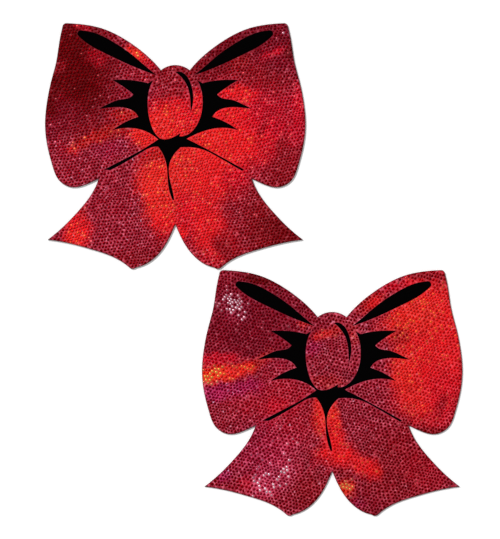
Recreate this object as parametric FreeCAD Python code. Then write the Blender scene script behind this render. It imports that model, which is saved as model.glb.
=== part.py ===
"""A pair of flat stick-on gift bows.

Each bow is die cut from red cloth covered in foil dots, with its loops, knot and tails drawn in
black print. Under the cloth lie a backing cloth, a layer of adhesive and a release liner.
Units are millimetres. The bows lie face up on their liners: +Z is up, +Y runs from the tails to
the loops, and the origin is the middle of the pair at the height of the table.
"""
import FreeCAD, Part
import os

# Driving dimensions
BOW_WIDTH = 76.0  # from side to side over the loops
PITCH_ACROSS = 45.7  # from the centre line of one bow to that of the other
PITCH_ALONG = 71.93  # from the top edge of one bow to that of the other
LINER_THICKNESS = 0.10
ADHESIVE_THICKNESS = 0.08
BACKING_THICKNESS = 0.22
FACE_THICKNESS = 0.40
FOIL_THICKNESS = 0.05
PRINT_THICKNESS = 0.08
PRINT_OFFSETS = {"left_bow": (0, 0), "right_bow": (0.35, -1.15)}  # where the print landed on the cloth

# Outlines are drawn for a bow 76 mm wide and 71.6 mm high. x is measured from the bow's centre
# line, and y from the top edge of its loops. An outline is a list of stretches from corner to
# corner: two points are a straight edge, three are an arc and more are a smooth curve.
DRAWN_WIDTH = 76.0
DRAWN_HEIGHT = 71.6
SCALE = BOW_WIDTH / DRAWN_WIDTH

KNOT_CROWN = [(-4.2, -13.7), (0, -12.2), (4.2, -13.7)]

LOOP_AND_TAIL = [
    # top edge of the loop, out from the knot
    [(4.2, -13.7), (7.2, -10.4), (11.0, -7.2), (16.2, -3.8), (21.4, -1.5), (26.2, -0.45), (31.6, 0)],
    # rounded upper corner
    [(31.6, 0), (32.55, -0.35), (32.9, -1.2)],
    # outer side and rounded bottom of the loop, in to the notch above the tail
    [(32.9, -1.2), (34.0, -6.8), (34.7, -11.3), (36.1, -16.6), (37.4, -23.0), (37.95, -29.2),
     (37.4, -35.3), (35.8, -41.6), (33.8, -45.9), (30.2, -47.8), (26.2, -47.1), (22.3, -45.3)],
    # hollow outer edge of the tail, out to its tip
    [(22.3, -45.3), (24.5, -49.9), (28.6, -55.1), (33.1, -59.7), (37.2, -63.1)],
    # lower edge of the tail
    [(37.2, -63.1), (30.3, -64.3), (24.4, -65.9), (18.8, -67.8), (13.4, -71.2)],
    # rounded lower tip
    [(13.4, -71.2), (12.4, -71.6), (11.4, -71.2)],
    # inner edge of the tail, up to the notch on the centre line
    [(11.4, -71.2), (8.0, -69.9), (4.6, -67.0), (1.9, -62.9), (0, -58.6)],
]

# The opening of a loop, printed as a blade with a round outer end
LOOP_OPENING = [
    [(5.35, -15.2), (8.5, -12.7), (12.6, -9.2), (18.2, -5.4), (23.0, -3.0), (27.1, -2.15)],
    [(27.1, -2.15), (28.3, -2.45), (28.4, -3.5)],
    [(28.4, -3.5), (25.2, -6.2), (19.6, -9.2), (13.0, -12.3), (5.35, -15.2)],
]

# The crease down the right side of the knot
KNOT_CREASE = [
    [(0.1, -14.3), (1.5, -14.15), (3.1, -15.15), (4.4, -17.4), (5.2, -20.9), (5.1, -23.4), (4.45, -26.1)],
    [(4.45, -26.1), (4.32, -21.9), (3.5, -18.4), (2.05, -16.05), (0.1, -14.3)],
]

# The shadow beside the knot: its edge away from the knot has three spikes over each loop
SPIKES = [
    [(6.4, -16.6), (7.9, -17.5)],
    [(7.9, -17.5), (11.6, -16.75), (18.3, -16.6)],
    [(18.3, -16.6), (14.8, -18.75), (12.2, -20.75)],
    [(12.2, -20.75), (13.0, -21.55), (16.3, -22.3), (19.3, -23.45), (22.3, -24.95)],
    [(22.3, -24.95), (18.9, -24.55), (15.4, -24.55), (12.4, -25.5), (10.8, -27.3)],
    [(10.8, -27.3), (14.55, -28.8), (18.4, -31.25)],
]
LAST_SPIKE_RIGHT = [(18.4, -31.25), (13.0, -30.5), (8.4, -31.4), (3.3, -33.7)]
LAST_SPIKE_LEFT = [(-5.0, -33.9), (-8.9, -31.4), (-13.4, -30.5), (-18.4, -31.25)]

# Below the knot the shadow runs out into a line over each tail and a stem down the middle
LINE_RIGHT = [
    [(3.3, -33.7), (6.9, -35.5), (14.2, -39.4), (19.95, -42.6)],
    [(19.95, -42.6), (19.65, -42.95), (19.1, -42.8)],
    [(19.1, -42.8), (15.5, -40.75), (11.9, -38.7), (8.4, -36.95), (5.0, -36.2), (1.5, -36.2)],
]
STEM = [
    [(1.5, -36.2), (-0.5, -38.4), (-1.6, -40.6), (-1.9, -43.2), (-1.2, -47.2), (-0.35, -51.4)],
    [(-0.35, -51.4), (-0.7, -51.7)],
    [(-0.7, -51.7), (-1.75, -48.8), (-2.25, -45.2), (-2.45, -42.0), (-3.45, -38.5), (-5.0, -36.0)],
]
LINE_LEFT = [
    [(-5.0, -36.0), (-7.0, -36.2), (-10.0, -37.75), (-14.5, -40.45), (-19.0, -42.8)],
    [(-19.0, -42.8), (-20.75, -42.7)],
    [(-20.75, -42.7), (-14.6, -39.5), (-9.0, -36.45), (-6.7, -35.0), (-5.0, -33.9)],
]

# The edge of the same shadow along the knot, with a small thorn at the bottom
KNOT_LEFT = [(-6.4, -16.6), (-7.5, -19.0), (-8.08, -23.0), (-7.52, -28.0), (-6.05, -31.85), (-4.5, -33.6)]
KNOT_BOTTOM = [(-4.5, -33.6), (-3.0, -33.85), (0.5, -32.65), (1.5, -32.0)]
KNOT_THORN = [(1.5, -32.0), (1.2, -32.95)]
KNOT_RIGHT = [
    (1.2, -32.95), (3.1, -32.7), (5.75, -30.5), (7.48, -26.8), (7.95, -22.5), (7.45, -19.0), (6.4, -16.6),
]


def mirrored(stretches):
    """The same stretches on the other side of the centre line, in running order."""
    return [[(-x, y) for x, y in reversed(stretch)] for stretch in reversed(stretches)]


def edge(points):
    """A line, an arc or a smooth curve through the points of one stretch."""
    vectors = [FreeCAD.Vector(x * SCALE, y * SCALE, 0) for x, y in points]
    if len(vectors) == 2:
        return Part.LineSegment(*vectors).toShape()
    if len(vectors) == 3:
        return Part.Arc(*vectors).toShape()
    curve = Part.BSplineCurve()
    curve.interpolate(vectors)
    return curve.toShape()


def face(stretches):
    """The flat face inside a ring of stretches."""
    return Part.Face(Part.Wire([edge(stretch) for stretch in stretches]))


def bow_face():
    """The die-cut outline of the whole bow."""
    return face([KNOT_CROWN] + LOOP_AND_TAIL + mirrored(LOOP_AND_TAIL))


def print_faces(offset):
    """The separate areas of black print, by name."""
    shadow = SPIKES + [LAST_SPIKE_RIGHT] + LINE_RIGHT + STEM + LINE_LEFT + [LAST_SPIKE_LEFT]
    shadow += mirrored(SPIKES) + [KNOT_LEFT, KNOT_BOTTOM, KNOT_THORN, KNOT_RIGHT]
    drawings = {
        "print_left_loop": mirrored(LOOP_OPENING),
        "print_right_loop": LOOP_OPENING,
        "print_knot_crease": KNOT_CREASE,
        "print_fold_shadow": shadow,
    }
    faces = {}
    for name, stretches in drawings.items():
        faces[name] = face(stretches)
        faces[name].translate(FreeCAD.Vector(*offset, 0))
    return faces


def layer(flat_face, bottom, thickness):
    """A flat face made solid between two heights."""
    raised = flat_face.copy()
    raised.translate(FreeCAD.Vector(0, 0, bottom))
    return raised.extrude(FreeCAD.Vector(0, 0, thickness))


def bow_layers(print_offset):
    """Every piece of one bow, from the liner up, by name."""
    outline = bow_face()
    prints = print_faces(print_offset)
    pieces = {}
    height = 0.0
    for name, thickness in (
        ("release_liner", LINER_THICKNESS),
        ("adhesive", ADHESIVE_THICKNESS),
        ("backing_cloth", BACKING_THICKNESS),
        ("face_cloth", FACE_THICKNESS),
    ):
        pieces[name] = layer(outline, height, thickness)
        height += thickness
    foil_face = outline.cut(list(prints.values())).Faces[0]
    pieces["foil_dots"] = layer(foil_face, height, FOIL_THICKNESS)
    for name, print_face in prints.items():
        pieces[name] = layer(print_face, height, PRINT_THICKNESS)
    return pieces


def bow_places():
    """Where each bow's centre line meets its top edge, by side."""
    pair_height = PITCH_ALONG + DRAWN_HEIGHT * SCALE
    top = pair_height / 2
    return {
        "left_bow": FreeCAD.Vector(-PITCH_ACROSS / 2, top, 0),
        "right_bow": FreeCAD.Vector(PITCH_ACROSS / 2, top - PITCH_ALONG, 0),
    }


def main():
    os.makedirs("parts", exist_ok=True)
    for side, place in bow_places().items():
        for name, shape in bow_layers(PRINT_OFFSETS[side]).items():
            shape.translate(place)
            assert shape.isValid() and len(shape.Solids) == 1, name
            shape.exportStep(f"parts/{side}_{name}.step")


main()
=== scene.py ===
import math

import bpy
import numpy as np
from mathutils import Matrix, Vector
from mathutils.geometry import delaunay_2d_cdt
from mathutils.kdtree import KDTree


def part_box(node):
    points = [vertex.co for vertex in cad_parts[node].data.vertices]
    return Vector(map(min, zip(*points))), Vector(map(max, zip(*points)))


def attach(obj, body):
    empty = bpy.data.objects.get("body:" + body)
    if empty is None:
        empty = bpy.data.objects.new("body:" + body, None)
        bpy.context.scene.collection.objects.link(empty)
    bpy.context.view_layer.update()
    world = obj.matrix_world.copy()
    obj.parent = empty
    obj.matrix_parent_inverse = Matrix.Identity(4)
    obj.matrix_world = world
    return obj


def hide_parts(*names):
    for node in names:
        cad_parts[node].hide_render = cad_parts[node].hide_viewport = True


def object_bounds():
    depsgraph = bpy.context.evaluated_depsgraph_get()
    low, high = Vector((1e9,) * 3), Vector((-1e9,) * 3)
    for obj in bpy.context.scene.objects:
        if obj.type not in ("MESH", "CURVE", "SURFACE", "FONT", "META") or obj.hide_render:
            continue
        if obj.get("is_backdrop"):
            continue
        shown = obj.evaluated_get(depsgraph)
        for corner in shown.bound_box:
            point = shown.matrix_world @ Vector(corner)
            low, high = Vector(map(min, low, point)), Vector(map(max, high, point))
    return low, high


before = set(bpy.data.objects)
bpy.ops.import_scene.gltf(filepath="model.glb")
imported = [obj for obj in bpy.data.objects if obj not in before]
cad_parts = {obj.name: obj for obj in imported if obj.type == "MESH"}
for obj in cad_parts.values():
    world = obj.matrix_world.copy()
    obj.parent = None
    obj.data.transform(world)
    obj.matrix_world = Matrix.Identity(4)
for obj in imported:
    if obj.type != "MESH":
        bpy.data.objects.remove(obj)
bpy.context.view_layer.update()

# The bows are worked out in millimetres and made in metres.
MM = 0.001
SIDES = ("left_bow", "right_bow")
PRINTS = ("print_left_loop", "print_right_loop", "print_knot_crease", "print_fold_shadow")
LATTICE = 256  # random values each way, from which the noise is made

# Foil dots
DOT_PITCH = 1.01  # between neighbours in a row
DOT_RADIUS = 0.49
DOT_SIZES = (0.85, 1.12)  # range of the dots' radii, as shares of the radius above
DOT_GAP = 0.13  # least knit showing between two dots that are close
DOT_CLOSE = 2.2  # how near the middles of close dots are, in radii
SMALLEST_DOT = 0.12  # radius under which a dot is left out
EDGE_MARGIN = 0.08  # least knit showing between a dot and an edge
DOT_HEIGHT = 0.05
DOT_ROOT = 0.02  # how deep a dot sits in the knit
DOT_CORNERS = 8
DOT_LEAST_REACH = 0.05  # from a dot's middle to a corner
DOT_SIDEWAYS = 0.05  # cosine under which a corner doesn't point at the next dot
DOT_SHOULDER = 0.72  # radius of the dome's shoulder, as a share of the dot's
DOT_SHOULDER_HEIGHT = 0.75  # as a share of the dot's height
DOT_TILT = 0.13  # slope that about one dot in seven passes
ROW_ANGLES = {"left_bow": 0.14, "right_bow": -0.22}  # of the rows to the bow, in radians
ROW_DRIFT = 0.7  # how far a row wanders off its straight line
ROW_DRIFT_LENGTH = 6  # along which it wanders once
DOT_SHIFT = 0.17  # how far a dot may stand off its place in the rows
DOT_SPREAD = 0.035  # how much the dots differ in brightness, as a share
DOT_TINT_SPREAD = 0.4  # how much they differ in hue, as a share of that
FLASH_SPREAD = (0.8, 1.05)  # range of brightness of the dots that flash, painted as glints

# Cloth and print. A step is the spacing of a sheet's points.
KNIT_STEP = 0.45
BACKING_STEP = 0.9
PRINT_STEP = 0.7
KNIT_EDGE_DROP = 0.10  # how far the knit's cut edge is rounded down
SWELL = 0.03  # how far the face rises and falls over the whole bow
SWELL_LENGTH = 9  # along which it rises or falls once
PRINT_HEIGHT = 0.08  # of the print's top over the face
PRINT_SINK = 0.03  # how far the print's edge is rounded down
PAINTED_RIM_SHADE = 0.3  # painted shade: brightness of the knit's cut edge, as a share of the face's
PAINTED_UNDERSIDE_SHADE = 0.35  # painted shade: and of its underside

# Colour
BRIGHTNESS = 1.3  # of a white surface under the lights
THREAD_TINT = (1.0, 0.88, 0.95)  # of the lighter threads between the dots
THREAD_EVENNESS = 5  # the higher, the less the threads differ in brightness
PATCH_CORE = 0.4  # a patch of sheen is full up to this share of its half size
PATCH_END = 1.6  # and has faded out at this one
PATCH_WARP = 0.7  # how far its outline is bent
PATCH_BENDS = (5, 1.2)  # lengths of the long and the short bends in it
MOTTLE = 0.04  # how much the cloth differs in brightness from place to place, as a share
MOTTLE_LENGTH = 1.6
STREAKS = 0.06  # and how much from streak to streak
STREAK_WIDTH = 0.9
STREAK_STRETCH = 3  # how many times longer than wide a streak is
STREAK_WAY = (0.5, 0.87)  # along a streak
STREAK_ACROSS = (-0.87, 0.5)

# Sheens of the foil: the crimson is the cloth's own colour, the others are painted reflection,
# darker where the foil would mirror the dark and brighter where it would catch the light.
# Columns:
# base colour in sRGB, how far the threads are lighter and the dots darker than it, the share of
# dots that flash, painted as glints, and the colour of a flash
SHEENS = {
    "maroon": ((89, 2, 5), 17, 2, 0.02, (135, 42, 44)),
    "wine": ((107, 0, 16), 37, 8, 0.03, (170, 70, 84)),
    "garnet": ((123, 2, 11), 42, 9, 0.03, (190, 56, 60)),
    "crimson": ((122, 0, 16), 62, 9, 0.02, (190, 80, 100)),
    "plum": ((138, 0, 45), 56, 12, 0.02, (195, 84, 134)),
    "ruby": ((179, 5, 22), 40, 8, 0.08, (235, 60, 60)),
    "rose": ((172, 34, 60), 52, 18, 0.20, (255, 215, 225)),
    "rust": ((176, 28, 28), 28, 28, 0.12, (235, 100, 50)),
    "scarlet": ((215, 17, 21), 34, 0, 0.12, (255, 80, 45)),
    "orange": ((215, 27, 22), 34, 0, 0.16, (255, 96, 45)),
    "gold": ((234, 46, 24), 20, 18, 0.66, (255, 176, 78)),
    "silver": ((118, 12, 32), 42, 16, 0.52, (252, 212, 226)),
}

# Where each painted sheen of reflection lies on the crimson cloth, laid one over the other:
# centre from the bow's centre line and top edge, half width, half height, tilt in degrees, sheen
# and strength
PATCHES = {
    "left_bow": [
        # left loop
        (-29.5, -13, 11.5, 16, 6, "maroon", 1.0),
        (-34, -27, 6, 5, 0, "wine", 0.6),
        (-26.8, -1.3, 2.6, 1.3, 0, "ruby", 0.6),
        (-22.5, -10, 3.2, 2.6, -35, "ruby", 0.45),
        (-33.8, -13.4, 1.8, 2.4, 0, "garnet", 0.8),
        (-36.8, -24.8, 2.0, 3.6, 0, "maroon", 0.9),
        (-37.2, -31.5, 1.8, 4.0, 0, "wine", 0.8),
        (-11, -20.3, 5, 1.7, 0, "wine", 0.8),
        (-10.5, -9.4, 4.2, 2.1, -42, "orange", 0.95),
        (-12, -8.0, 2.0, 1.0, -40, "gold", 0.5),
        (-7.5, -12, 2.5, 1.5, -42, "ruby", 0.7),
        (-14, -26.5, 4.6, 2.0, 8, "rust", 0.95),
        (-9, -33, 4.4, 3.2, -25, "orange", 0.95),
        (-17, -31.5, 5, 1.6, 15, "rust", 0.6),
        (-21, -31.5, 9, 3, 20, "garnet", 0.6),
        (-23.0, -33.3, 8, 1.5, 26, "rust", 0.9),
        (-29.5, -37.3, 2.0, 0.9, 15, "orange", 0.4),
        (-19, -36.5, 5, 2.4, 10, "plum", 0.35),
        # knot
        (0, -14.5, 12, 4, 0, "garnet", 0.6),
        (0, -29.5, 9, 7.8, 0, "scarlet", 1.0),
        (-3.5, -29.5, 4.5, 4.2, 0, "orange", 0.8),
        (-0.7, -21, 3.2, 1.3, 0, "garnet", 0.8),
        (4.2, -33, 1.6, 1.2, 0, "garnet", 0.8),
        (6.6, -23.5, 1.8, 3.8, 0, "scarlet", 1.0),
        # right loop
        (20, -5, 15, 5, 28, "wine", 0.85),
        (30, -8, 7, 9, 0, "wine", 0.7),
        (16, -9, 12, 4, 25, "maroon", 0.45),
        (24, -16, 10, 4, -10, "garnet", 0.8),
        (18.5, -11, 3.4, 1.8, 25, "rust", 0.35),
        (28.3, -9.0, 4.0, 1.3, 24, "ruby", 0.8),
        (32.3, -2.4, 1.4, 0.9, -20, "silver", 0.8),
        (22, -31, 16.5, 11.5, 0, "ruby", 0.95),
        (17, -20.5, 6, 2.6, -15, "scarlet", 0.95),
        (14, -26.5, 7, 3.0, 0, "scarlet", 1.0),
        (15, -34, 11, 6.5, -10, "scarlet", 1.0),
        (9, -32, 6, 3, 0, "orange", 0.5),
        (36, -24, 2.2, 5, 0, "ruby", 0.9),
        (33, -42, 6, 6, 0, "garnet", 0.7),
        (33.2, -8, 1.8, 2.6, 0, "maroon", 0.7),
        (15.6, -18, 2.4, 1.2, 10, "garnet", 0.8),
        (31, -35.5, 1.4, 4, -20, "garnet", 0.7),
        (26, -31, 1.0, 4, -15, "garnet", 0.4),
        # tails
        (5, -43, 12.5, 9.5, 0, "orange", 0.9),
        (13, -44, 7, 7, 0, "scarlet", 0.8),
        (18, -46, 4, 4, 0, "ruby", 0.7),
        (3, -55.5, 4.5, 4.5, 0, "ruby", 0.9),
        (10, -60, 6.0, 11, 25, "scarlet", 0.9),
        (17, -51, 2.0, 6, 20, "garnet", 0.25),
        (28, -58, 10, 13, -10, "garnet", 0.95),
        (14.8, -65.6, 3.0, 5.4, 20, "garnet", 0.9),
        (32, -60, 7, 6, 0, "maroon", 0.5),
        (-5.5, -45.5, 5.3, 6.5, 0, "orange", 1.0),
        (-4.0, -54, 4.6, 5.3, 0, "orange", 0.9),
        (2.0, -61.3, 1.5, 2.2, 0, "scarlet", 1.0),
        (-2.8, -59, 3.0, 3.5, 0, "scarlet", 0.9),
        (-5, -38.8, 4.5, 1.6, 20, "rust", 0.8),
        (-28.8, -60.5, 3.6, 5.0, -10, "scarlet", 1.0),
        (-29.3, -62, 2.4, 2.4, 0, "orange", 0.7),
        (-26.3, -54.5, 1.2, 3.2, -10, "rust", 0.5),
        (-4, -65, 3, 3.5, 0, "garnet", 0.5),
        (-11, -69.5, 8, 3, 0, "garnet", 0.5),
    ],
    "right_bow": [
        # left loop
        (-24, -15, 17, 13, 0, "wine", 1.0),
        (-17, -6, 13, 5.5, -30, "wine", 0.8),
        (-21, -2.2, 5, 1.4, -12, "maroon", 0.8),
        (-28.8, -10.5, 4.7, 3.3, -35, "silver", 0.88),
        (-28.5, -14, 2.4, 1.8, 0, "rose", 0.3),
        (-26, -13.2, 2.6, 1.8, -40, "silver", 0.6),
        (-23, -9, 1.6, 1.2, 0, "silver", 0.35),
        (-34, -26.5, 7, 2.0, 3, "ruby", 1.0),
        (-34, -30.6, 7, 2.4, 2, "gold", 1.0),
        (-26.5, -29.3, 5.5, 1.9, 22, "orange", 1.0),
        (-25.3, -28.6, 2.4, 1.2, 25, "gold", 0.5),
        (-20, -25.8, 4, 1.4, 30, "rust", 0.8),
        (-19, -37, 11, 6, 10, "ruby", 0.4),
        (-28, -35, 8, 2.5, 8, "plum", 0.5),
        (-34.5, -35.6, 4.5, 2.4, 0, "plum", 1.0),
        (-25, -34, 4, 1.6, 20, "plum", 1.0),
        (-15.5, -27.3, 5, 1.8, 10, "rose", 0.25),
        (-15.8, -39.3, 3.2, 2.0, 25, "ruby", 0.8),
        # knot
        (0.5, -17.8, 3, 2.0, 20, "rust", 0.8),
        (-3, -18.7, 2.6, 1.6, 15, "orange", 0.6),
        (-8, -15.8, 2, 1, 0, "rust", 0.7),
        (-5, -22.5, 2, 2, 0, "plum", 0.7),
        (6, -18.5, 1.6, 3, 0, "rust", 0.5),
        (-1, -32.5, 5, 1.6, 0, "rust", 0.5),
        (5.7, -31.5, 2.0, 1.5, 0, "wine", 0.8),
        # right loop
        (11.5, -9.4, 4.4, 1.9, 40, "rust", 0.9),
        (12.2, -9.4, 2.6, 1.3, 40, "scarlet", 0.8),
        (16.4, -5.2, 3.0, 1.2, 28, "ruby", 0.8),
        (21.5, -4.0, 4, 1.4, 20, "ruby", 0.9),
        (30, -17, 10.5, 17, 0, "scarlet", 1.0),
        (23, -14, 9, 6, 25, "orange", 1.0),
        (28, -33, 9.5, 12.5, 0, "scarlet", 1.0),
        (20.5, -29.5, 3.6, 6.5, 0, "orange", 0.9),
        (24, -38, 4, 4.5, 0, "orange", 0.6),
        (19.5, -19.5, 2.6, 2.6, 0, "rust", 0.8),
        (28, -1.6, 6, 1.4, 0, "garnet", 0.8),
        (32, -37, 5, 8, 0, "ruby", 0.5),
        (31.5, -39.5, 1.4, 3.0, -15, "garnet", 0.6),
        (29, -47.3, 7, 1.8, -8, "garnet", 0.9),
        # tails
        (20, -58, 12, 12, 0, "garnet", 0.7),
        (26, -58, 7, 5, -40, "ruby", 0.35),
        (-2.6, -42, 3.0, 5.5, 0, "orange", 0.95),
        (0.8, -43, 1.6, 5, 0, "orange", 0.9),
        (0.8, -49, 3.0, 5, 0, "scarlet", 1.0),
        (1.5, -53.7, 5.4, 3.6, -10, "scarlet", 1.0),
        (9.5, -57.2, 4.8, 2.6, -20, "scarlet", 0.95),
        (13.5, -58.5, 1.5, 0.8, 0, "gold", 0.3),
        (3.2, -59.3, 3.0, 1.4, -20, "garnet", 0.8),
        (10, -69, 6, 3.5, 0, "wine", 0.4),
        (4.2, -63.9, 3.0, 2.3, -30, "gold", 0.75),
        (8, -68, 2, 1.5, 0, "plum", 0.5),
        (-13, -46, 8, 6, 40, "ruby", 0.35),
        (-12, -52.5, 5, 3.5, 55, "rose", 0.4),
        (-5.5, -65.5, 5, 6, 0, "garnet", 0.7),
        (-17.5, -61, 8.0, 4.2, 35, "rose", 1.0),
        (-15.6, -60.4, 3.0, 2.6, 30, "silver", 0.4),
        (-25.5, -62, 1.8, 1.8, 0, "ruby", 0.6),
        (-31.4, -59.5, 2.2, 1.6, 30, "plum", 0.9),
        (-22, -52, 9, 7, 30, "plum", 0.35),
    ],
}


def linear(colour):
    """An sRGB colour of 0 to 255 as the linear values that a shader takes."""
    c = np.clip(colour, 0, 255) / 255
    return np.where(c <= 0.04045, c / 12.92, ((c + 0.055) / 1.055) ** 2.4)


def painted(colour):
    """The base colour that looks like an sRGB colour under the studio's bright light."""
    return linear(colour) / BRIGHTNESS


def smooth(t):
    """A smooth step from 0 to 1."""
    t = np.clip(t, 0, 1)
    return t * t * (3 - 2 * t)


def value_noise(points, size, seed):
    """Smooth noise from -1 to 1 whose grains are about size millimetres wide."""
    lattice = np.random.default_rng(seed).uniform(-1, 1, (LATTICE, LATTICE))
    scaled = points / size + LATTICE // 2
    whole = np.floor(scaled).astype(int)
    fx, fy = smooth(scaled - whole).T
    x, y = (whole % (LATTICE - 1)).T
    low = lattice[x, y] * (1 - fx) + lattice[x + 1, y] * fx
    high = lattice[x, y + 1] * (1 - fx) + lattice[x + 1, y + 1] * fx
    return low * (1 - fy) + high * fy


# Outlines ------------------------------------------------------------------------------------
def top_rim(name):
    """The outline of a flat CAD node's top face: a counter-clockwise ring of points."""
    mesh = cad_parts[name].data
    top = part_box(name)[1].z
    steps = set()
    for polygon in mesh.polygons:
        corners = [mesh.vertices[i].co for i in polygon.vertices]
        if min(c.z for c in corners) < top - 1e-6:
            continue
        keys = [(round(c.x / MM, 4), round(c.y / MM, 4)) for c in corners]
        steps.update(zip(keys, keys[1:] + keys[:1]))
    follows = {a: b for a, b in steps if (b, a) not in steps}
    ring = [min(follows)]
    while follows[ring[-1]] != ring[0]:
        ring.append(follows[ring[-1]])
    return np.array(ring)


def divided(ring, step):
    """The ring with its long sides cut into pieces no longer than step."""
    points = []
    for a, b in zip(ring, np.roll(ring, -1, axis=0)):
        count = max(1, math.ceil(np.linalg.norm(b - a) / step))
        points += [a + (b - a) * k / count for k in range(count)]
    return np.array(points)


def signed_distance(points, ring):
    """How far each point is inside the ring; outside it is negative."""
    a, b = ring, np.roll(ring, -1, axis=0)
    along = b - a
    length = (along**2).sum(1)
    found = np.empty(len(points))
    batch = 2000  # of points at a time, to save memory
    for first in range(0, len(points), batch):
        p = points[first : first + batch, None, :]
        t = np.clip(((p - a) * along).sum(2) / length, 0, 1)
        near = np.sqrt(((p - a - t[..., None] * along) ** 2).sum(2)).min(1)
        above = (a[:, 1] > p[..., 1]) != (b[:, 1] > p[..., 1])
        rise = np.where(along[:, 1] == 0, 1, along[:, 1])
        crossing = a[:, 0] + along[:, 0] * (p[..., 1] - a[:, 1]) / rise
        inside = (above & (p[..., 0] < crossing)).sum(1) % 2 == 1
        found[first : first + batch] = np.where(inside, near, -near)
    return found


def hex_grid(low, high, step):
    """Points in staggered rows over a box."""
    row_step = step * math.sqrt(3) / 2
    rows = np.arange(low[1], high[1], row_step)
    columns = np.arange(low[0], high[0], step)
    x, y = np.meshgrid(columns, rows)
    x[1::2] += step / 2
    return np.column_stack([x.ravel(), y.ravel()])


# Meshes --------------------------------------------------------------------------------------
def mesh_object(name, points, faces, colours=None):
    """A smooth-shaded object from points in millimetres, with a colour at each point."""
    mesh = bpy.data.meshes.new(name)
    mesh.from_pydata((np.asarray(points) * MM).tolist(), [], faces)
    mesh.polygons.foreach_set("use_smooth", np.ones(len(mesh.polygons), bool))
    if colours is not None:
        attribute = mesh.attributes.new("sheen", "FLOAT_COLOR", "POINT")
        with_alpha = np.column_stack([colours, np.ones(len(colours))]).astype(np.float32)
        attribute.data.foreach_set("color", with_alpha.ravel())
    mesh.update()
    piece = bpy.data.objects.new(name, mesh)
    bpy.context.scene.collection.objects.link(piece)
    return piece


def filled(ring, step):
    """Triangles over the inside of a ring. The ring's own points come first."""
    inner = hex_grid(ring.min(0), ring.max(0), step)
    clearance = 0.55 * step
    inner = inner[signed_distance(inner, ring) > clearance]
    points = [Vector(p) for p in np.vstack([ring, inner])]
    only_inside, closest = 1, 1e-5
    out, _, faces, source, _, _ = delaunay_2d_cdt(
        points, [], [list(range(len(ring)))], only_inside, closest,
    )
    places = np.array([tuple(p) for p in out])
    firsts = [min(s) if s else len(points) + i for i, s in enumerate(source)]
    order = np.argsort(firsts, kind="stable")
    rank = np.empty(len(order), int)
    rank[order] = np.arange(len(order))
    return places[order], [[int(rank[i]) for i in f] for f in faces]


def slab(name, ring, step, bottom, top, edge_drop, colours=None):
    """A closed sheet over a ring. Its top's height and its colours may depend on the place."""
    ring = divided(ring, step)
    flat, faces = filled(ring, step)
    count, rim = len(flat), len(ring)
    heights = top(flat)
    heights[:rim] -= edge_drop
    upper = np.column_stack([flat, heights])
    lower = np.column_stack([flat, np.full(count, bottom)])
    under = [[count + i for i in reversed(f)] for f in faces]
    wall = [[i, count + i, count + (i + 1) % rim, (i + 1) % rim] for i in range(rim)]
    sheens = None if colours is None else np.vstack(colours(flat, rim))
    return mesh_object(name, np.vstack([upper, lower]), faces + under + wall, sheens)


# Sheens --------------------------------------------------------------------------------------
def sheen_at(side, points):
    """The cloth's colour with its painted reflection at points on the bow, as rows in the order
    of the table of sheens.
    """
    long, short = PATCH_BENDS
    warp = np.column_stack([value_noise(points, long, 11), value_noise(points, long, 12)])
    fine = np.column_stack([value_noise(points, short, 13), value_noise(points, short, 14)])
    moved = points + PATCH_WARP * warp + PATCH_WARP * fine

    def sheen(name):
        colour, threads, dots, share, flash = SHEENS[name]
        return np.array([*colour, threads, dots, share, *flash], float)

    found = np.tile(sheen("crimson"), (len(points), 1))
    for x, y, across, along, tilt, name, strength in PATCHES[side]:
        c, s = math.cos(math.radians(tilt)), math.sin(math.radians(tilt))
        dx, dy = moved[:, 0] - x, moved[:, 1] - y
        reach = np.hypot((dx * c + dy * s) / across, (dy * c - dx * s) / along)
        weight = strength * smooth((PATCH_END - reach) / (PATCH_END - PATCH_CORE))
        found += (sheen(name) - found) * weight[:, None]
    stretched = [points @ STREAK_WAY / STREAK_STRETCH, points @ STREAK_ACROSS]
    streaks = value_noise(np.column_stack(stretched), STREAK_WIDTH, 16)
    mottle = MOTTLE * value_noise(points, MOTTLE_LENGTH, 15) + STREAKS * streaks
    found[:, :3] *= 1 + mottle[:, None]
    return found


# Materials -----------------------------------------------------------------------------------
def new_material(name):
    """A new material, its node tree and its Principled shader."""
    material = bpy.data.materials.new(name)
    material.use_nodes = True
    tree = material.node_tree
    return material, tree, tree.nodes["Principled BSDF"]


def node(tree, kind, links=(), **settings):
    """A node with its properties and input values set, and links made into it."""
    made = tree.nodes.new(kind)
    for key, value in settings.items():
        if hasattr(made, key):
            setattr(made, key, value)
        else:
            made.inputs[key.replace("_", " ")].default_value = value
    for socket, source in links:
        tree.links.new(source, made.inputs[socket])
    return made


def object_place(tree):
    """Coordinates on the object, in metres."""
    return tree.nodes.new("ShaderNodeTexCoord").outputs["Object"]


def bump(tree, shader, height, distance):
    """Relief on a shader from a value of 0 to 1, as deep as distance in metres."""
    made = node(tree, "ShaderNodeBump", [("Height", height)], Strength=1.0, Distance=distance)
    tree.links.new(made.outputs["Normal"], shader.inputs["Normal"])


def shade(tree, colour, value, low, high):
    """A colour made darker or lighter by a value that runs from 0 to 1."""
    factor = node(tree, "ShaderNodeMapRange", [("Value", value)])
    factor.inputs["To Min"].default_value = low
    factor.inputs["To Max"].default_value = high
    scaled = node(tree, "ShaderNodeVectorMath", operation="SCALE")
    tree.links.new(colour, scaled.inputs[0])
    tree.links.new(factor.outputs["Result"], scaled.inputs["Scale"])
    return scaled.outputs["Vector"]


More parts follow.
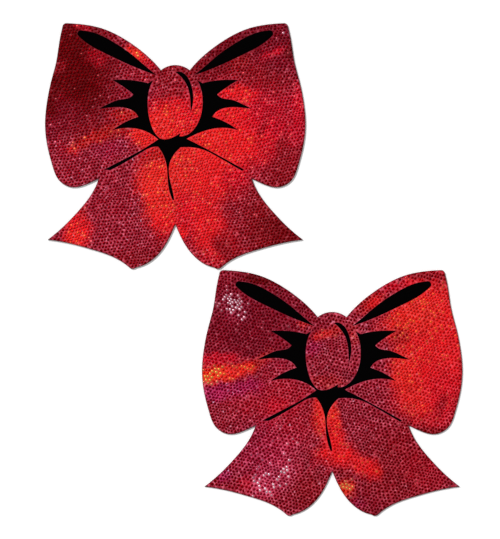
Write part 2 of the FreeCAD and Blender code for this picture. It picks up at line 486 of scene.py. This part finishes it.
def knit_material():
    """Red knit with painted highlights where its threads catch the light unevenly."""
    material, tree, shader = new_material("red_knit")
    place = object_place(tree)
    sheen = node(tree, "ShaderNodeAttribute", attribute_name="sheen").outputs["Color"]
    stitches = node(tree, "ShaderNodeTexVoronoi", [("Vector", place)], Scale=2300.0)
    threads = node(tree, "ShaderNodeTexNoise", [("Vector", place)], Scale=3600.0, Detail=2.0)
    # painted highlights: each stitch lighter at its middle and darker at its edge, and the
    # threads lighter or darker from grain to grain
    colour = shade(tree, sheen, stitches.outputs["Distance"], 1.2, 0.8)
    colour = shade(tree, colour, threads.outputs["Fac"], 0.6, 1.4)
    tree.links.new(colour, shader.inputs["Base Color"])
    shader.inputs["Roughness"].default_value = 0.7
    shader.inputs["Specular IOR Level"].default_value = 0.0
    bump(tree, shader, stitches.outputs["Distance"], 0.00010)
    return material


def foil_material():
    """Foil dots, each of its own colour, with painted reflection and glints in those colours."""
    material, tree, shader = new_material("foil_dots")
    place = object_place(tree)
    sheen = node(tree, "ShaderNodeAttribute", attribute_name="sheen").outputs["Color"]
    crinkle = node(tree, "ShaderNodeTexNoise", [("Vector", place)], Scale=5200.0, Detail=3.0)
    colour = shade(tree, sheen, crinkle.outputs["Fac"], 0.8, 1.2)
    tree.links.new(colour, shader.inputs["Base Color"])
    shader.inputs["Roughness"].default_value = 0.34
    shader.inputs["Metallic"].default_value = 0.85
    shader.inputs["Specular IOR Level"].default_value = 0.0
    bump(tree, shader, crinkle.outputs["Fac"], 0.00003)
    return material


def print_material():
    """Matte black print with a faint grain."""
    material, tree, shader = new_material("black_print")
    place = object_place(tree)
    grain = node(tree, "ShaderNodeTexNoise", [("Vector", place)], Scale=2600.0, Detail=4.0)
    ramp = node(tree, "ShaderNodeValToRGB", [("Fac", grain.outputs["Fac"])])
    ramp.color_ramp.elements[0].color = (0.0002, 0.0002, 0.0002, 1)
    ramp.color_ramp.elements[1].color = (0.0012, 0.0008, 0.0010, 1)
    tree.links.new(ramp.outputs["Color"], shader.inputs["Base Color"])
    shader.inputs["Roughness"].default_value = 0.9
    shader.inputs["Specular IOR Level"].default_value = 0.01
    bump(tree, shader, grain.outputs["Fac"], 0.00003)
    return material


def backing_material():
    """Plain weave, dyed red."""
    material, tree, shader = new_material("backing_weave")
    place = object_place(tree)
    warp = node(tree, "ShaderNodeTexWave", [("Vector", place)], bands_direction="X", Scale=520.0)
    weft = node(tree, "ShaderNodeTexWave", [("Vector", place)], bands_direction="Y", Scale=520.0)
    weave = node(tree, "ShaderNodeMath", operation="MULTIPLY")
    tree.links.new(warp.outputs["Fac"], weave.inputs[0])
    tree.links.new(weft.outputs["Fac"], weave.inputs[1])
    ramp = node(tree, "ShaderNodeValToRGB", [("Fac", weave.outputs["Value"])])
    ramp.color_ramp.elements[0].color = (0.10, 0.004, 0.010, 1)
    ramp.color_ramp.elements[1].color = (0.30, 0.014, 0.030, 1)
    tree.links.new(ramp.outputs["Color"], shader.inputs["Base Color"])
    shader.inputs["Roughness"].default_value = 0.9
    shader.inputs["Specular IOR Level"].default_value = 0.1
    bump(tree, shader, weave.outputs["Value"], 0.00006)
    return material


def adhesive_material():
    """Clear, slightly milky adhesive, through which the weave shows."""
    material, tree, shader = new_material("adhesive")
    place = object_place(tree)
    flow = node(tree, "ShaderNodeTexNoise", [("Vector", place)], Scale=420.0, Detail=3.0)
    ramp = node(tree, "ShaderNodeValToRGB", [("Fac", flow.outputs["Fac"])])
    ramp.color_ramp.elements[0].color = (0.62, 0.55, 0.50, 1)
    ramp.color_ramp.elements[1].color = (0.80, 0.74, 0.68, 1)
    tree.links.new(ramp.outputs["Color"], shader.inputs["Base Color"])
    shader.inputs["Roughness"].default_value = 0.18
    shader.inputs["Alpha"].default_value = 0.16
    bump(tree, shader, flow.outputs["Fac"], 0.00005)
    return material


def liner_material():
    """White siliconed paper with faint diagonal lines, as on the back of a sticker sheet."""
    material, tree, shader = new_material("release_paper")
    place = object_place(tree)
    fibres = node(tree, "ShaderNodeTexNoise", [("Vector", place)], Scale=900.0, Detail=5.0)
    ramp = node(tree, "ShaderNodeValToRGB", [("Fac", fibres.outputs["Fac"])])
    ramp.color_ramp.elements[0].color = (0.78, 0.78, 0.76, 1)
    ramp.color_ramp.elements[1].color = (0.88, 0.88, 0.87, 1)
    lines = node(
        tree, "ShaderNodeTexWave", [("Vector", place)], bands_direction="DIAGONAL", Scale=40.0,
    )
    thin = node(tree, "ShaderNodeMapRange", [("Value", lines.outputs["Fac"])])
    thin.inputs["From Min"].default_value = 0.97
    thin.inputs["From Max"].default_value = 1.0
    marked = node(tree, "ShaderNodeMix", data_type="RGBA")
    tree.links.new(thin.outputs["Result"], marked.inputs["Factor"])
    tree.links.new(ramp.outputs["Color"], marked.inputs["A"])
    marked.inputs["B"].default_value = (0.60, 0.64, 0.68, 1)
    tree.links.new(marked.outputs["Result"], shader.inputs["Base Color"])
    shader.inputs["Roughness"].default_value = 0.38
    bump(tree, shader, fibres.outputs["Fac"], 0.00002)
    return material


# Pieces --------------------------------------------------------------------------------------
def finish_piece(piece, side, replaced, material):
    """Gives a new piece its material and its body, and hides the CAD node that it stands for."""
    piece.data.materials.append(material)
    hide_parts(f"{side}_{replaced}")
    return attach(piece, side)


def build_bow(side, materials):
    """One bow's knit, backing, prints and dots."""
    rims = {n: top_rim(f"{side}_{n}") for n in ("face_cloth",) + PRINTS}
    outline = rims["face_cloth"]
    low, high = outline.min(0), outline.max(0)
    origin = np.array([(low[0] + high[0]) / 2, high[1]])
    seed = 100 + SIDES.index(side)
    face_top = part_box(f"{side}_face_cloth")[1].z / MM

    def face_height(points):
        return face_top - SWELL + SWELL * value_noise(points, SWELL_LENGTH, seed)

    def knit_colours(points, rim):
        # the knit's colour with painted reflection, from the table of sheens
        sheen = sheen_at(side, points - origin)
        random = np.random.default_rng(seed)
        glow = random.gamma(THREAD_EVENNESS, 1 / THREAD_EVENNESS, len(points))
        colours = painted(sheen[:, :3] + (sheen[:, 3] * glow)[:, None] * THREAD_TINT)
        # painted shade on the knit's cut edge and on its underside
        colours[:rim] *= PAINTED_RIM_SHADE
        return colours, colours * PAINTED_UNDERSIDE_SHADE

    knit = slab(
        f"{side}_knit", outline, KNIT_STEP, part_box(f"{side}_face_cloth")[0].z / MM,
        face_height, KNIT_EDGE_DROP, knit_colours,
    )
    finish_piece(knit, side, "face_cloth", materials["knit"])

    backing_low, backing_high = (c.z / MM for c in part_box(f"{side}_backing_cloth"))
    backing = slab(
        f"{side}_backing", outline, BACKING_STEP, backing_low,
        lambda points: np.full(len(points), backing_high), 0.0,
    )
    finish_piece(backing, side, "backing_cloth", materials["backing"])

    print_bottom = face_top - 3 * SWELL  # the lowest place of the face is 2 swells down
    for name in PRINTS:
        film = slab(
            f"{side}_{name}_film", rims[name], PRINT_STEP, print_bottom,
            lambda points: face_height(points) + PRINT_HEIGHT, PRINT_SINK,
        )
        finish_piece(film, side, name, materials["print"])

    dots = foil_dots(side, rims, origin, face_height, seed)
    finish_piece(dots, side, "foil_dots", materials["foil"])


def dot_corners(places, radius):
    """Corners of each dot: a circle cut short where it would come too near the next dots."""
    turn = np.random.default_rng(7).uniform(0, 2 * math.pi, len(places))
    angles = turn[:, None] + np.arange(DOT_CORNERS) * 2 * math.pi / DOT_CORNERS
    ways = np.stack([np.cos(angles), np.sin(angles)], axis=2)
    reach = np.repeat(radius[:, None], DOT_CORNERS, axis=1)
    tree = KDTree(len(places))
    for i, (x, y) in enumerate(places):
        tree.insert((x, y, 0), i)
    tree.balance()
    for i, (x, y) in enumerate(places):
        for _, j, gap in tree.find_range((x, y, 0), DOT_CLOSE * DOT_RADIUS):
            if i != j:
                # corners that point away from the neighbour keep their reach
                toward = np.maximum(ways[i] @ ((places[j] - places[i]) / gap), DOT_SIDEWAYS)
                limit = (gap / 2 - DOT_GAP / 2) / toward
                reach[i] = np.minimum(reach[i], np.maximum(limit, DOT_LEAST_REACH))
    return ways * reach[..., None]


def foil_dots(side, rims, origin, face_height, seed):
    """Domed dots in uneven rows over the unprinted face, each with its own colour and tilt."""
    random = np.random.default_rng(seed + 10)
    outline = rims["face_cloth"]
    reach = (outline.max(0) - outline.min(0)).max()
    turn = ROW_ANGLES[side]
    places = hex_grid((-reach, -reach), (reach, reach), DOT_PITCH)
    places = places @ ((math.cos(turn), math.sin(turn)), (-math.sin(turn), math.cos(turn)))
    places += (outline.max(0) + outline.min(0)) / 2
    drift = [value_noise(places, ROW_DRIFT_LENGTH, seed + more) for more in (20, 21)]
    shift = random.uniform(-DOT_SHIFT, DOT_SHIFT, places.shape)
    places = places + ROW_DRIFT * np.column_stack(drift) + shift
    room = signed_distance(places, outline)
    for name in PRINTS:
        room = np.minimum(room, -signed_distance(places, rims[name]))
    radius = DOT_RADIUS * random.uniform(*DOT_SIZES, len(places))
    radius = np.minimum(radius, room - EDGE_MARGIN)
    kept = radius > SMALLEST_DOT
    places, radius = places[kept], radius[kept]
    count = len(places)

    # the foil's colour with painted reflection, from the table of sheens
    sheen = sheen_at(side, places - origin)
    spread = random.normal(0, 1, (count, 1))
    spread = spread + DOT_TINT_SPREAD * random.normal(0, 1, (count, 3))
    colour = painted((sheen[:, :3] - sheen[:, 4:5]) * (1 + DOT_SPREAD * spread))
    # painted glints: a share of the dots is painted in the bright colour of a flash
    lit = random.uniform(0, 1, count) < sheen[:, 5]
    colour[lit] = painted(sheen[lit, 6:9] * random.uniform(*FLASH_SPREAD, (lit.sum(), 1)))

    ring = dot_corners(places, radius)
    slope = random.normal(0, DOT_TILT / 2, (count, 2))
    base = face_height(places)

    def layer(share, height):
        """One ring of every dot, at a share of its radius and a height over its foot."""
        flat = ring * share
        lean = (flat * slope[:, None, :]).sum(2) if height else 0
        z = base[:, None] - DOT_ROOT + height + np.zeros(flat.shape[:2]) + lean
        return np.concatenate([flat + places[:, None, :], z[..., None]], axis=2)

    foot = layer(1.0, 0.0)
    shoulder = layer(DOT_SHOULDER, DOT_ROOT + DOT_HEIGHT * DOT_SHOULDER_HEIGHT)
    crown = np.column_stack([places, base + DOT_HEIGHT])[:, None, :]
    points = np.concatenate([foot, shoulder, crown], axis=1)
    corners = points.shape[1]
    faces = []
    for k in range(DOT_CORNERS):
        n = (k + 1) % DOT_CORNERS
        faces.append([k, n, DOT_CORNERS + n, DOT_CORNERS + k])
        faces.append([DOT_CORNERS + k, DOT_CORNERS + n, 2 * DOT_CORNERS])
    faces.append(list(reversed(range(DOT_CORNERS))))
    starts = range(0, count * corners, corners)
    all_faces = [[start + i for i in face] for start in starts for face in faces]
    colours = np.repeat(colour, corners, axis=0)
    return mesh_object(f"{side}_dots", points.reshape(-1, 3), all_faces, colours)


def build_bows():
    """Both bows, with materials on the liner and adhesive that are kept from the CAD."""
    materials = {
        "knit": knit_material(), "foil": foil_material(), "print": print_material(),
        "backing": backing_material(),
    }
    kept = {"adhesive": adhesive_material(), "release_liner": liner_material()}
    for side in SIDES:
        build_bow(side, materials)
        for name, material in kept.items():
            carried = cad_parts[f"{side}_{name}"].data.materials
            carried.clear()
            carried.append(material)


# Stage ---------------------------------------------------------------------------------------
def build_floor():
    """A wide white table."""
    half = 2.0  # metres
    corners = [(-half, -half, 0), (half, -half, 0), (half, half, 0), (-half, half, 0)]
    mesh = bpy.data.meshes.new("table")
    mesh.from_pydata(corners, [], [(0, 1, 2, 3)])
    floor = bpy.data.objects.new("table", mesh)
    bpy.context.scene.collection.objects.link(floor)
    material, _, shader = new_material("table_white")
    shader.inputs["Base Color"].default_value = (0.95, 0.95, 0.95, 1)
    shader.inputs["Roughness"].default_value = 0.9
    shader.inputs["Specular IOR Level"].default_value = 0.0
    mesh.materials.append(material)
    floor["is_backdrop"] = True


def build_lights():
    """Soft white surroundings and a key light from the upper left."""
    world = bpy.data.worlds.new("studio")
    world.use_nodes = True
    background = world.node_tree.nodes["Background"]
    background.inputs["Color"].default_value = (1, 1, 1, 1)
    background.inputs["Strength"].default_value = 0.55
    bpy.context.scene.world = world
    key = bpy.data.lights.new("key", "SUN")
    key.energy = 2.3
    key.angle = math.radians(7)
    lamp = bpy.data.objects.new("key", key)
    lamp.rotation_euler = Vector((-0.5, 0.5, 1.0)).to_track_quat("Z", "Y").to_euler()
    bpy.context.scene.collection.objects.link(lamp)


def build_camera():
    """Looks straight down on the pair from above."""
    low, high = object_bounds()
    field_height = 0.15695
    field_shift = 0.00109  # of the picture's middle to the left of the pair's
    camera = bpy.data.cameras.new("camera")
    camera.lens = 120
    camera.sensor_width = 36
    camera.clip_start = 0.01
    seen = bpy.data.objects.new("camera", camera)
    distance = field_height * camera.lens / camera.sensor_width
    seen.location = ((low[0] + high[0]) / 2 - field_shift, 0, high[2] + distance)
    bpy.context.scene.collection.objects.link(seen)
    bpy.context.scene.camera = seen
    bpy.context.scene.view_settings.view_transform = "Standard"


build_bows()
build_floor()
build_lights()
build_camera()
